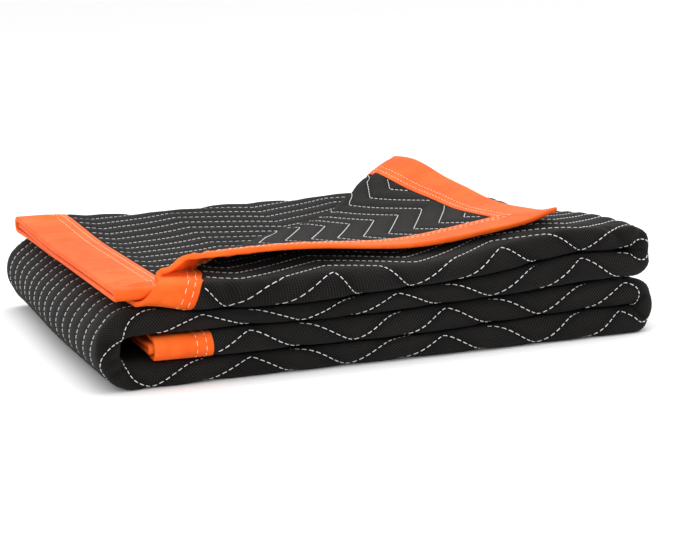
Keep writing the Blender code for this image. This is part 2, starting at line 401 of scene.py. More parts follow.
    def settled(self, points: Array) -> Array:
        """Moves points as the stack has sunk, puffed and swayed.

        Args:
            points: Points of the stack before it has settled.

        Returns:
            The points, in the object's frame.
        """
        x, y, z = points[..., 0], points[..., 1], points[..., 2]
        share = z / self.stack_height
        tuck = smooth((y - self.nose_tuck_from) / self.nose_tuck_over)
        tuck = tuck * (1.0 - smooth(x / self.nose_tuck_depth))
        tuck = tuck * (1.0 - smooth((share - self.nose_tuck_top) / self.nose_tuck_blend))
        x = x + self.nose_tuck * tuck
        z = z - self.slump(x, z)
        z = z + self.back_puff * smooth((y - self.back_puff_from) / self.back_puff_over) * share
        right = smooth((x - self.right_end_from) / self.right_end_over)
        behind = smooth((y - self.right_back_from) / self.right_back_over)
        turned = smooth((x - self.turn_sink_from) / self.turn_sink_over)
        corner = smooth((x - self.corner_droop_x) / self.corner_droop_x_over)
        corner = corner * smooth((y - self.corner_droop_y) / self.corner_droop_y_over)
        sunk = np.sin(math.pi * np.clip(x / self.sag_length, 0.0, 1.0))
        z = z + share * (self.right_end_puff * right - self.sag * sunk)
        z = z - share * (self.right_back_sink * behind * right + self.turn_sink * turned)
        z = z - share * self.corner_droop * corner
        x = x - self.turn_squash * smooth((x - self.turn_squash_from) / self.turn_squash_over)
        wave = np.sin(math.tau * (x / self.wave_length + share))
        z = z + self.wave_height * wave * np.clip(share, 0.0, 1.0)
        front = 1.0 - smooth(y / self.ply_depth)
        swing = np.sin(math.tau * (z / self.sway_height + x / self.sway_length))
        y = y + self.sway * front * swing
        return np.stack([x - self.centre_x, y - self.centre_y, z], axis=-1)

    def surface(self, u: Array, v: Array, height: Array | float) -> Array:
        """Points of the folded pad.

        Args:
            u: Each point's place along the pad.
            v: Its place across the pad.
            height: How far it is above the cloth's middle, or below where negative.

        Returns:
            The points, in the object's frame.
        """
        u, v = self.rounded(u, v)
        lifted = self.normal(u, v) * np.broadcast_to(height, u.shape)[..., None]
        points = self.settled(self.middle(u, v) + lifted)
        return points + sum(tug.moved(u, v) for tug in self.tugs)

    def rounded(self, u: Array, v: Array) -> tuple[Array, Array]:
        """Draws the free corner's places in, so that its point is blunt.

        Args:
            u: Each point's place along the pad.
            v: Its place across the pad.

        Returns:
            The places, which differ near the corner alone.
        """
        a, b = self.corner_radius - u, self.corner_radius - v
        near = (a > 0.0) & (b > 0.0)
        scale = np.where(near, np.maximum(a, b) / np.maximum(np.hypot(a, b), self.step), 1.0)
        return self.corner_radius - a * scale, self.corner_radius - b * scale

    def to_edge(self, u: Array, v: Array) -> Array:
        """How far a point is from the nearest taped edge."""
        return np.minimum(np.minimum(u, self.length - u), v)


@dataclass(frozen=True)
class Zigzag:
    """The quilting seams: nested zigzags that run along the pad."""

    pitch: float = 0.0291
    first_seam: float = 0.0103
    half_period: float = 0.085
    reach: float = 0.024
    first_peak: float = 0.089
    drift: float = 0.020
    roundness: float = 0.9993
    passes: int = 3

    def sway(self, u: Array, v: Array | float) -> Array:
        """How far a seam has swung across the pad.

        Args:
            u: Places along the pad.
            v: Places across it, with which the zigzag drifts.

        Returns:
            The swing at each place.
        """
        turn = math.pi * (u - self.first_peak + self.drift * v) / self.half_period
        edge = math.asin(self.roundness)
        return self.reach * np.arcsin(self.roundness * np.cos(turn)) / edge

    def lean(self) -> float:
        """The cosine of the seams' angle to the pad's length."""
        return self.half_period / math.hypot(self.half_period, 2 * self.reach)

    def to_seam(self, u: Array, v: Array) -> Array:
        """How far a point is from the nearest seam."""
        place = (v - self.first_seam - self.sway(u, v)) / self.pitch
        return np.abs(place - np.round(place)) * self.pitch * self.lean()

    def seam(self, number: int, u: Array) -> Array:
        """Where across the pad a seam runs, at each u. Each pass brings it nearer its place.

        Args:
            number: The seam's number, counted from the free side edge.
            u: Places along the pad.

        Returns:
            The seam's v at each place.
        """
        base = self.first_seam + number * self.pitch
        v = np.full(u.shape, base)
        for _ in range(self.passes):
            v = base + self.sway(u, v)
        return v


class Face(Enum):
    """The two faces of the cloth: the one that the rolls turn outwards, and the other."""

    OUTER = 1
    INNER = -1


@dataclass(frozen=True)
class Crease:
    """A soft trough between two places of the pad, or a ridge where its depth is negative."""

    start: tuple[float, float]
    end: tuple[float, float]
    depth: float
    width: float
    blunt_end: float = 0.08

    def dip(self, u: Array, v: Array) -> Array:
        """How deep the crease is.

        Args:
            u: Places along the pad.
            v: Places across it.

        Returns:
            The depth at each place, which fades at the crease's sides and ends.
        """
        along = np.subtract(self.end, self.start)
        length = float(np.hypot(*along))
        du, dv = u - self.start[0], v - self.start[1]
        t = np.clip((du * along[0] + dv * along[1]) / length**2, 0.0, 1.0)
        away = np.hypot(du - t * along[0], dv - t * along[1])
        place = np.clip(t, self.blunt_end, 1.0 - self.blunt_end)
        return self.depth * bell(away / self.width) * np.sin(math.pi * place)


@dataclass
class Quilting:
    """The cloth's relief: puffs between the seams, and the folds' own creases."""

    fold: PadFold
    zigzag: Zigzag = field(default_factory=Zigzag)
    seam_dip: float = 0.0015
    seam_width: float = 0.0050
    binding_width: float = 0.050
    tape: float = 0.0008
    seam_gap: float = 0.0004
    press_width: float = 0.006
    press_start: float = 0.25
    crease_depth: float = 0.003
    thinnest: float = 0.0004
    creases: tuple[Crease, ...] = ()

    def half(self, u: Array, v: Array) -> Array:
        """Half the cloth's thickness.

        Args:
            u: Places along the pad.
            v: Places across it.

        Returns:
            The half thickness at each place: less in a seam, and pressed under the tape.
        """
        full = self.fold.ply / 2
        seam = self.seam_dip * bell(self.zigzag.to_seam(u, v) / self.seam_width)
        under_tape = full - self.tape - self.seam_gap
        past = (self.fold.to_edge(u, v) - self.binding_width) / self.press_width
        return under_tape + (full - seam - under_tape) * smooth(past + self.press_start)

    def height(self, u: Array, v: Array, face: Face) -> Array:
        """The height of one of the cloth's faces over the cloth's middle.

        Args:
            u: Places along the pad.
            v: Places across it.
            face: The face.

        Returns:
            The height at each place, which is negative on the inner face.
        """
        half = self.half(u, v)
        height = half
        if face is Face.OUTER:
            for crease in self.creases:
                height = height - crease.dip(u, v)
        return np.maximum(height, self.thinnest - half) * face.value

    def puff(self, u: Array, v: Array, face: Face) -> Array:
        """How far the padding stands up, which the cloth's material uses to paint shade in the
        seams and creases and a highlight, with wear, on the crowns.

        Args:
            u: Places along the pad.
            v: Places across it.
            face: The face that it stands up on.

        Returns:
            A share at each place: 0 in a seam or a crease, and 1 between.
        """
        puff = 1.0 - bell(self.zigzag.to_seam(u, v) / self.seam_width)
        # Creases lower the puff too, so that the cloth's material paints shade in them.
        if face is Face.OUTER:
            for crease in self.creases:
                puff = puff * (1.0 - np.clip(crease.dip(u, v) / self.crease_depth, 0.0, 1.0))
        return puff


class Stride(Enum):
    """How many stations one cell spans."""

    FINE = 1
    PAIR = 2
    WIDE = 8


@dataclass
class Patchwork:
    """Cells that cover the pad's flat rectangle, fine where the cloth shows."""

    fold: PadFold
    along: tuple[int, ...] = (160, 16, 96, 24, 96, 16, 96)
    across: tuple[int, ...] = (144, 16, 112, 8, 112, 8, 24)

    def __post_init__(self) -> None:
        """Places the stations and the patches' corners."""
        self.u = self.stations(self.fold.strip_ends, self.along)
        self.v = self.stations(self.fold.section_ends, self.across)
        self.rows = np.cumsum([0, *self.along])
        self.columns = np.cumsum([0, *self.across])

    @staticmethod
    def stations(ends: Array, counts: Iterable[int]) -> Array:
        """Even stations on each leg of a course.

        Args:
            ends: The course's start, and where each leg ends.
            counts: How many stations each leg has.

        Returns:
            The stations, from the course's start to its end.
        """
        parts = [
            np.linspace(begin, end, count, endpoint=False)
            for begin, end, count in zip(ends, ends[1:], counts)
        ]
        return np.concatenate([*parts, ends[-1:]])

    def strides(self, face: Face) -> dict[tuple[int, int], tuple[int, int]]:
        """The cell sizes of each patch.

        Args:
            face: The face that the cells are on.

        Returns:
            How many stations a cell spans each way, by the patch's legs along and across.
        """
        legs_along, legs_across = range(len(self.along)), range(len(self.across))
        top, upper_turn, _, nose, lowest, lower_turn, _ = legs_along
        first, roll, second, back, third, inner_roll, _ = legs_across
        chosen = {}
        for i in legs_along:
            for j in legs_across:
                along = Stride.PAIR if i in (upper_turn, nose, lower_turn) else Stride.WIDE
                across = Stride.PAIR if j in (roll, back, inner_roll) else Stride.WIDE
                chosen[i, j] = (along.value, across.value)
        fine = [(top, first)]
        if face is Face.OUTER:
            fine += [(i, roll) for i in legs_along]
            fine += [(top, third), (upper_turn, first), (nose, second), (lower_turn, second)]
            for i in legs_along:
                chosen[i, back] = (Stride.FINE.value, Stride.PAIR.value)
            chosen[lowest, second] = (Stride.PAIR.value, Stride.PAIR.value)
        for patch in fine:
            chosen[patch] = (Stride.FINE.value, Stride.FINE.value)
        return chosen

    def marks(self, face: Face) -> Array:
        """Which stations are corners of cells.

        Args:
            face: The face that the cells are on.

        Returns:
            Whether each station is one.
        """
        used = np.zeros((len(self.u), len(self.v)), bool)
        for (i, j), (su, sv) in self.strides(face).items():
            rows = slice(self.rows[i], self.rows[i + 1] + 1, su)
            columns = slice(self.columns[j], self.columns[j + 1] + 1, sv)
            used[rows, columns] = True
        return used

    def cells(self, face: Face, used: Array) -> list[list[tuple[int, int]]]:
        """The cells of one face. Where the corner is turned over, they are triangles.

        Args:
            face: The face that the cells are on.
            used: Whether each station is used.

        Returns:
            Each cell as the used stations round it, in order.
        """
        found = []
        for (i, j), (su, sv) in self.strides(face).items():
            split = i == 0 and j == 0
            for r in range(self.rows[i], self.rows[i + 1], su):
                for c in range(self.columns[j], self.columns[j + 1], sv):
                    ring = [(k, c) for k in range(r, r + su)]
                    ring += [(r + su, k) for k in range(c, c + sv)]
                    ring += [(k, c + sv) for k in range(r + su, r, -1)]
                    ring += [(r, k) for k in range(c + sv, c, -1)]
                    ring = [corner for corner in ring if used[corner]]
                    if split and len(ring) == 4:
                        a, b, d, e = ring
                        found += [[b, d, e], [b, e, a]]
                    else:
                        found.append(ring)
        return found

    def rim(self, used: Array) -> list[tuple[int, int]]:
        """The used stations round the pad's edge.

        Args:
            used: Whether each station is used.

        Returns:
            Their rows and columns, in order.
        """
        last_row, last_column = len(self.u) - 1, len(self.v) - 1
        ring = [(r, 0) for r in range(last_row)]
        ring += [(last_row, c) for c in range(last_column)]
        ring += [(r, last_column) for r in range(last_row, 0, -1)]
        ring += [(0, c) for c in range(last_column, 0, -1)]
        return [corner for corner in ring if used[corner]]


@dataclass
class QuiltedCloth:
    """The pad's cloth: one closed quilted sheet."""

    fold: PadFold
    quilting: Quilting
    patchwork: Patchwork
    name: str = "quilted_cloth"

    def build(self) -> bpy.types.Object:
        """Makes the sheet's mesh, with its flat places as UVs and its puffs as an attribute.

        Returns:
            The sheet.
        """
        grid = self.patchwork
        marks = {face: grid.marks(face) for face in Face}
        on_rim = np.zeros_like(marks[Face.OUTER])
        on_rim[[0, -1], :] = True
        on_rim[:, [0, -1]] = True
        rim_marks = (marks[Face.OUTER] | marks[Face.INNER]) & on_rim
        points, flat, puffs, faces = [], [], [], []
        index = {}
        count = 0
        for face in Face:
            used = marks[face] | rim_marks
            rows, columns = np.nonzero(used)
            u, v = grid.u[rows], grid.v[columns]
            numbers = np.full(used.shape, -1)
            numbers[used] = np.arange(count, count + len(u))
            count += len(u)
            points.append(self.fold.surface(u, v, self.quilting.height(u, v, face)))
            flat.append(np.stack([u, v], axis=1))
            puffs.append(self.quilting.puff(u, v, face))
            for ring in grid.cells(face, used):
                numbered = [int(numbers[corner]) for corner in ring]
                faces.append(numbered[::face.value])
            index[face] = numbers
        ring = grid.rim(rim_marks)
        for a, b in zip(ring, ring[1:] + ring[:1]):
            outer, inner = index[Face.OUTER], index[Face.INNER]
            faces.append([int(outer[b]), int(outer[a]), int(inner[a]), int(inner[b])])
        obj = mesh_object(self.name, np.concatenate(points), faces)
        set_flat_places(obj, np.concatenate(flat))
        set_values(obj, "puff", np.concatenate(puffs))
        return obj


@dataclass
class EdgeBinding:
    """The tape folded over the pad's edges and sewn down with two rows of stitches."""

    fold: PadFold
    quilting: Quilting
    name: str = "binding_tape"
    rows: tuple[float, float] = (0.036, 0.044)
    row_dip: float = 0.0004
    row_width: float = 0.0016
    edge_dip: float = 0.00025
    edge_dip_over: float = 0.006
    pucker: float = 0.00045
    pucker_length: float = 0.0131
    wander: float = 0.35
    wander_length: float = 0.083
    swell: float = 0.4
    swell_length: float = 0.0417
    swell_start: float = 1.3
    rim_steps: int = 6
    creases: tuple[Crease, ...] = ()
    inward: tuple[float, ...] = (
        0.0, 0.003, 0.008, 0.016, 0.024, 0.031, 0.0345, 0.036, 0.0375,
        0.040, 0.0425, 0.044, 0.0455, 0.048, 0.050,
    )
    along: tuple[int, ...] = (94, 10, 50, 14, 50, 10, 50)
    across: tuple[int, ...] = (88, 16, 60, 10, 96, 8, 40)

    def __post_init__(self) -> None:
        """Places the stations along the pad and across it."""
        inward = np.array(self.inward)
        width = self.inward[-1]
        u = Patchwork.stations(
            np.array([width, *self.fold.strip_ends[1:-1], self.fold.length - width]), self.along
        )
        v = Patchwork.stations(np.array([width, *self.fold.section_ends[1:]]), self.across)
        self.u = np.concatenate([inward[:-1], u, self.fold.length - inward[-2::-1]])
        self.v = np.concatenate([inward[:-1], v])

    def outer_height(self, u: Array, v: Array) -> Array:
        """The height of the tape's outer face over the cloth's middle.

        Args:
            u: Places along the pad.
            v: Places across it.

        Returns:
            The height at each place: drawn down at the stitches, and puckered.
        """
        d = np.maximum(self.fold.to_edge(u, v), 0.0)
        run = np.where(v < np.minimum(u, self.fold.length - u), u, v)
        dips = sum(self.row_dip * bell((d - row) / self.row_width) for row in self.rows)
        dips = dips + self.edge_dip * smooth((d - self.rows[1]) / self.edge_dip_over)
        wander = self.wander * np.sin(math.tau * run / self.wander_length)
        ripple = np.sin(math.tau * (run / self.pucker_length + wander))
        swell = np.sin(math.tau * run / self.swell_length + self.swell_start)
        ripple = ripple * (1.0 - self.swell + self.swell * swell)
        across = np.clip(d / self.inward[-1], 0.0, 1.0)
        puckers = self.pucker * ripple * np.sin(math.pi * across)
        folds = sum(crease.dip(u, v) for crease in self.creases)
        return self.fold.ply / 2 - dips + puckers - folds

    def layer(self, height: Array | float, beyond: float) -> Array:
        """One layer of the tape's points.

        Args:
            height: Its height off the cloth's middle.
            beyond: How far its edges are moved out past the pad's.

        Returns:
            A point for each station.
        """
        u, v = np.meshgrid(self.u, self.v, indexing="ij")
        u[0] -= beyond
        u[-1] += beyond
        v[:, 0] -= beyond
        return self.fold.surface(u, v, height)

    def build(self) -> bpy.types.Object:
        """Makes the tape's mesh: two outer faces, two inner faces and a round rim.

        Returns:
            The tape.
        """
        u, v = np.meshgrid(self.u, self.v, indexing="ij")
        outer = self.outer_height(u, v)
        inner = self.fold.ply / 2 - self.quilting.tape
        rim_out = self.quilting.tape + self.quilting.seam_gap
        rim_in = self.quilting.seam_gap
        angles = np.linspace(math.pi / 2, -math.pi / 2, self.rim_steps + 1)
        layers = [self.layer(outer * math.sin(a), rim_out * math.cos(a)) for a in angles]
        layers += [self.layer(inner, rim_in), self.layer(-inner, rim_in)]
        first, last, under_top, over_bottom = 0, self.rim_steps, len(layers) - 2, len(layers) - 1
        size = u.size
        width = self.inward[-1]
        numbers = np.arange(size).reshape(u.shape)
        middle_u = (self.u[1:] + self.u[:-1]) / 2
        middle_v = (self.v[1:] + self.v[:-1]) / 2
        inside = self.fold.to_edge(middle_u[:, None], middle_v[None, :]) < width
        faces = []
        for j, i in zip(*np.nonzero(inside)):
            ring = [numbers[j, i], numbers[j + 1, i], numbers[j + 1, i + 1], numbers[j, i + 1]]
            for number, way in ((first, 1), (last, -1), (under_top, -1), (over_bottom, 1)):
                faces.append([int(k + number * size) for k in ring][::way])
        on_rim = np.zeros(size, bool)
        on_rim[numbers[[0, -1], :]] = True
        on_rim[numbers[:, 0]] = True
        for a, b in open_sides(numbers, inside):
            along_end = a // u.shape[1] == b // u.shape[1]
            if on_rim[a] and on_rim[b] and (along_end or self.v[0] == v.flat[a]):
                steps = [*range(first, last + 1)]
                pairs = list(zip(steps, steps[1:])) + [(over_bottom, under_top)]
            else:
                pairs = [(first, under_top), (over_bottom, last)]
            for p, q in pairs:
                faces.append([b + p * size, a + p * size, a + q * size, b + q * size])
        points = np.concatenate([layer.reshape(-1, 3) for layer in layers])
        flat = np.tile(np.stack([u.ravel(), v.ravel()], axis=1), (len(layers), 1))
        used = np.unique([k for face in faces for k in face])
        renumber = np.full(len(points), -1)
        renumber[used] = np.arange(len(used))
        faces = [[int(renumber[k]) for k in face] for face in faces]
        obj = mesh_object(self.name, points[used], faces)
        set_flat_places(obj, flat[used])
        return obj


@dataclass
class Thread:
    """Stitches: short lengths of thread that dip into the cloth at both ends.

    The rises are in radii of the thread, one for each station along a stitch. The feeler is
    the short step off the cloth that finds which way is outwards.
    """

    fold: PadFold
    stitch: float
    gap: float
    radius: float
    sides: int = 4
    stations: tuple[float, ...] = (0.0, 0.18, 0.82, 1.0)
    rises: tuple[float, ...] = (-0.6, 0.75, 0.75, -0.6)
    feeler: float = 0.001
    points: list[Array] = field(default_factory=list)

    def sew(self, u: Array, v: Array, height: PlaceRule, face: Face, shows: PlaceRule) -> None:
        """Sews along a line of the flat pad.

        Args:
            u: Places along the pad, close together.
            v: Places across it.
            height: A function of u and v that gives the cloth's height there.
            face: The face that the stitches lie on.
            shows: A function of u and v that says where they are made.
        """
        run = np.concatenate([[0.0], np.cumsum(np.hypot(np.diff(u), np.diff(v)))])
        starts = np.arange(0.0, run[-1] - self.stitch, self.stitch + self.gap)
        at = starts[:, None] + np.array(self.stations) * self.stitch
        su, sv = np.interp(at, run, u), np.interp(at, run, v)
        kept = shows(su[:, 0], sv[:, 0]) & shows(su[:, -1], sv[:, -1])
        su, sv = su[kept], sv[kept]
        if not len(su):
            return
        level = height(su, sv) + np.array(self.rises) * self.radius * face.value
        middles = self.fold.surface(su, sv, level)
        out = self.fold.surface(su, sv, level + self.feeler * face.value) - middles
        out /= np.linalg.norm(out, axis=-1, keepdims=True)
        ahead = middles[:, -1] - middles[:, 0]
        ahead /= np.linalg.norm(ahead, axis=-1, keepdims=True)
        side = np.cross(ahead[:, None, :], out)
        ring = [middles[:, 0]]
        for k in (1, 2):
            for corner in range(self.sides):
                angle = math.tau * (corner + 0.5) / self.sides
                spoke = math.cos(angle) * out[:, k] + math.sin(angle) * side[:, k]
                ring.append(middles[:, k] + self.radius * spoke)
        ring.append(middles[:, 3])
        self.points.append(np.stack(ring, axis=1))

    def faces(self) -> list[list[int]]:
        """The faces of one stitch: two tips and the sides between them.

        Returns:
            The faces, as lists of the stitch's point numbers.
        """
        n = self.sides
        found = []
        for k in range(n):
            a, b = 1 + k, 1 + (k + 1) % n
            found += [[0, a, b], [a, a + n, b + n, b], [a + n, 2 * n + 1, b + n]]
        return found

    def build(self, name: str) -> bpy.types.Object:
        """Joins all the stitches in one mesh.

        Args:
            name: The piece's name.

        Returns:
            The stitches.
        """
        points = np.concatenate(self.points)
        count, each = points.shape[:2]
        first_points = np.arange(count)[:, None] * each
        faces = []
        for face in self.faces():
            faces += (first_points + np.array(face)).tolist()
        return mesh_object(name, points.reshape(-1, 3), faces)


def open_sides(numbers: Array, inside: Array) -> list[tuple[int, int]]:
    """The sides of the chosen cells that no other chosen cell shares.

    Args:
        numbers: The number of each station.
        inside: Which cells are chosen.

    Returns:
        Each side as the numbers of its two ends, with the cell on its left.
    """
    padded = np.pad(inside, 1)
    found = []
    for j, i in zip(*np.nonzero(inside)):
        a, b = int(numbers[j, i]), int(numbers[j + 1, i])
        c, d = int(numbers[j + 1, i + 1]), int(numbers[j, i + 1])
        if not padded[j + 1, i]:
            found.append((a, b))
        if not padded[j + 2, i + 1]:
            found.append((b, c))
        if not padded[j + 1, i + 2]:
            found.append((c, d))
        if not padded[j, i + 1]:
            found.append((d, a))
    return found


def turn_outwards(mesh: bpy.types.Mesh) -> None:
    """Turns a closed mesh's faces outwards.

    Args:
        mesh: The mesh.
    """
    bm = bmesh.new()
    bm.from_mesh(mesh)
    bmesh.ops.recalc_face_normals(bm, faces=bm.faces)
    bm.to_mesh(mesh)
    bm.free()


def mesh_object(name: str, points: Array, faces: Sequence[Sequence[int]]) -> bpy.types.Object:
    """A closed, smooth mesh object at the origin.

    Args:
        name: The piece's name.
        points: Its points, in the object's frame.
        faces: Its faces, as lists of point numbers.

    Returns:
        The object, linked to the scene.
    """
    mesh = bpy.data.meshes.new(name)
    mesh.from_pydata(points.tolist(), [], faces)
    mesh.update()
    turn_outwards(mesh)
    mesh.shade_smooth()
    obj = bpy.data.objects.new(name, mesh)
    bpy.context.scene.collection.objects.link(obj)
    return obj


def set_flat_places(obj: bpy.types.Object, flat: Array) -> None:
    """Stores each point's place on the flat pad as the piece's UV map.

    Args:
        obj: The piece.
        flat: The place of each of its points.
    """
    layer = obj.data.uv_layers.new(name="flat_place")
    corner_points = np.empty(len(obj.data.loops), np.int32)
    obj.data.loops.foreach_get("vertex_index", corner_points)
    layer.data.foreach_set("uv", flat[corner_points].astype(np.float32).ravel())


def set_values(obj: bpy.types.Object, name: str, values: Array) -> None:
    """Stores one number for each point as a named attribute."""
    attribute = obj.data.attributes.new(name, "FLOAT", "POINT")
    attribute.data.foreach_set("value", values.astype(np.float32))


@dataclass
class Sewing:
    """All the pad's stitches: the quilting's zigzags and the binding's two rows."""

    fold: PadFold
    quilting: Quilting
    binding: EdgeBinding
    reveal: float = 0.014
    clear_of_tape: float = 0.001
    line_step: float = 0.001
    thread_radius: float = 0.00042
    quilting_stitch: float = 0.0050
    quilting_gap: float = 0.0012
    binding_stitch: float = 0.0042
    binding_gap: float = 0.0018

    def past_tape(self, u: Array, v: Array) -> Array:
        """Where the cloth isn't under the tape."""
        return self.fold.to_edge(u, v) > self.binding.inward[-1] + self.clear_of_tape

    def shown_outside(self, u: Array, v: Array) -> Array:
        """Where the outer face of the cloth can be seen.

        Args:
            u: Places along the pad.
            v: Places across it.

        Returns:
            Whether the face can be seen at each place.
        """
        along, across = self.fold.strip_ends, self.fold.section_ends
        top = u < along[1]
        upper_turn = (u > along[1] - self.reveal) & (u < along[2] + self.reveal)
        nose = (u > along[3] - self.reveal) & (u < along[4] + self.reveal)
        lower = (u > along[4]) & (u < along[6] + self.reveal)
        first = v < across[1]
        second = (v > across[2]) & (v < across[3])
        third = (v > across[4]) & (v < across[5])
        front = (v > across[1] - self.reveal) & (v < across[2] + self.reveal)
        back = (v > across[3] - self.reveal) & (v < across[4] + self.reveal)
        seen = (top & (first | third)) | (upper_turn & first) | ((nose | lower) & second)
        return (seen | front | back) & self.past_tape(u, v)

    def shown_inside(self, u: Array, v: Array) -> Array:
        """Where the inner face of the cloth can be seen: on the turned-over corner."""
        corner = (u < self.fold.strip_ends[1]) & (v < self.fold.section_ends[1])
        return corner & self.past_tape(u, v)

    def build_quilting(self) -> bpy.types.Object:
        """Sews the zigzags.

        Returns:
            The stitches.
        """
        zigzag = self.quilting.zigzag
        thread = Thread(self.fold, self.quilting_stitch, self.quilting_gap, self.thread_radius)
        u = np.arange(0.0, self.fold.length, self.line_step)
        for number in range(-1, int(self.fold.width / zigzag.pitch) + 2):
            v = zigzag.seam(number, u)
            for face, shows in ((Face.OUTER, self.shown_outside), (Face.INNER, self.shown_inside)):
                thread.sew(u, v, lambda a, b, f=face: self.quilting.height(a, b, f), face, shows)
        return thread.build("quilting_stitches")

    def build_binding_rows(self) -> bpy.types.Object:
        """Sews the two rows that hold the tape, on both faces.

        Returns:
            The stitches.
        """
        thread = Thread(self.fold, self.binding_stitch, self.binding_gap, self.thread_radius)
        long_way = np.arange(0.0, self.fold.length, self.line_step)
        wide_way = np.arange(0.0, self.fold.width, self.line_step)
        for row in self.binding.rows:
            long_run = long_way[(long_way >= row) & (long_way <= self.fold.length - row)]
            wide_run = wide_way[wide_way >= row]
            lines = [
                (long_run, np.full(long_run.shape, row)),
                (np.full(wide_run.shape, row), wide_run),
                (np.full(wide_run.shape, self.fold.length - row), wide_run),
            ]
            for u, v in lines:
                for face in Face:
                    thread.sew(
                        u,
                        v,
                        lambda a, b, f=face: self.binding.outer_height(a, b) * f.value,
                        face,
                        lambda a, b: np.ones(a.shape, bool),
                    )
        return thread.build("binding_stitches")


class Shader:
    """A material's nodes, made and joined by name."""

    WAVE_ANGLE = 20.0

    def __init__(self, name: str) -> None:
        """Starts a material with a Principled shader.

        Args:
            name: The material's name.
        """
        self.material = bpy.data.materials.new(name)
        self.material.use_nodes = True
        self.tree = self.material.node_tree
        self.principled = self.tree.nodes["Principled BSDF"]

    def add(self, kind: str, **settings: object) -> bpy.types.Node:
        """Adds a node.

        Args:
            kind: The node's type.
            **settings: Its options, by name.

        Returns:
            The node.
        """
        node = self.tree.nodes.new(kind)
        for key, value in settings.items():
            setattr(node, key, value)
        return node

    def join(self, output: bpy.types.NodeSocket, to: bpy.types.NodeSocket) -> None:
        """Joins two sockets."""
        self.tree.links.new(output, to)

    def flat_place(self, turn: float = 0.0) -> bpy.types.NodeSocket:
        """The place on the flat pad, in metres.

        Args:
            turn: The angle that the place is turned by.

        Returns:
            The socket that gives it.
        """
        place = self.add("ShaderNodeUVMap", uv_map="flat_place")
        mapping = self.add("ShaderNodeMapping")
        mapping.inputs["Rotation"].default_value = (0.0, 0.0, turn)
        self.join(place.outputs["UV"], mapping.inputs["Vector"])
        return mapping.outputs["Vector"]

    def bands(self, turn: float, period: float) -> bpy.types.NodeSocket:
        """Soft bands across the flat pad. A wave node turns by WAVE_ANGLE radians over a metre.

        Args:
            turn: The angle that the bands are turned by.
            period: The distance from one band to the next.

        Returns:
            The socket that gives their strength.
        """
        wave = self.add("ShaderNodeTexWave", wave_type="BANDS", bands_direction="X")
        wave.inputs["Scale"].default_value = math.tau / self.WAVE_ANGLE / period
        self.join(self.flat_place(turn), wave.inputs["Vector"])
        return wave.outputs["Fac"]

    def noise(
        self, place: bpy.types.NodeSocket, scale: float, detail: float = 3.0
    ) -> bpy.types.NodeSocket:
        """Soft noise.

        Args:
            place: The socket that gives the place.
            scale: How many cells it has to the metre.
            detail: How many finer layers it has.

        Returns:
            The socket that gives its strength.
        """
        node = self.add("ShaderNodeTexNoise")
        node.inputs["Scale"].default_value = scale
        node.inputs["Detail"].default_value = detail
        self.join(place, node.inputs["Vector"])
        return node.outputs["Fac"]

    def object_place(self) -> bpy.types.NodeSocket:
        """The place in the object's frame."""
        return self.add("ShaderNodeTexCoord").outputs["Object"]

    def math(self, operation: str, a: object, b: object) -> bpy.types.NodeSocket:
        """One sum on two values.

        Args:
            operation: The sum.
            a: The first value, a socket or a number.
            b: The second value, a socket or a number.

        Returns:
            The socket that gives the result.
        """
        node = self.add("ShaderNodeMath", operation=operation)
        for value, socket in zip((a, b), node.inputs):
            if isinstance(value, bpy.types.NodeSocket):
                self.join(value, socket)
            else:
                socket.default_value = value
        return node.outputs["Value"]

    def spread(
        self, value: bpy.types.NodeSocket, low: float, high: float, to: tuple[float, float]
    ) -> bpy.types.NodeSocket:
        """Maps a range of values to another, and clamps it.

        Args:
            value: The socket that gives the value.
            low: The start of its range.
            high: The end of its range.
            to: The start and the end of the new range.

        Returns:
            The socket that gives the result.
        """
        node = self.add("ShaderNodeMapRange")
        node.inputs["From Min"].default_value = low
        node.inputs["From Max"].default_value = high
        node.inputs["To Min"].default_value = to[0]
        node.inputs["To Max"].default_value = to[1]
        self.join(value, node.inputs["Value"])
        return node.outputs["Result"]

    def blend(
        self, share: bpy.types.NodeSocket, a: Colour | bpy.types.NodeSocket, b: Colour
    ) -> bpy.types.NodeSocket:
        """Mixes two colours.

        Args:
            share: The socket that gives the second colour's share.
            a: The first colour, or a socket that gives it.
            b: The second colour.

        Returns:
            The socket that gives the mixed colour.
        """
        node = self.add("ShaderNodeMix", data_type="RGBA")
        self.join(share, node.inputs["Factor"])
        if isinstance(a, bpy.types.NodeSocket):
            self.join(a, node.inputs["A"])
        else:
            node.inputs["A"].default_value = (*a, 1.0)
        node.inputs["B"].default_value = (*b, 1.0)
        return node.outputs["Result"]

    def bump(self, height: bpy.types.NodeSocket, distance: float, strength: float) -> None:
        """Raises the surface's shading by a height pattern.

        Args:
            height: The socket that gives the pattern.
            distance: How high it rises.
            strength: How much of it shows.
        """
        node = self.add("ShaderNodeBump")
        node.inputs["Distance"].default_value = distance
        node.inputs["Strength"].default_value = strength
        self.join(height, node.inputs["Height"])
        self.join(node.outputs["Normal"], self.principled.inputs["Normal"])

    def set(self, **values: float | tuple[float, ...]) -> None:
        """Sets the shader's own sockets, named with underscores for spaces."""
        for key, value in values.items():
            self.principled.inputs[key.replace("_", " ")].default_value = value


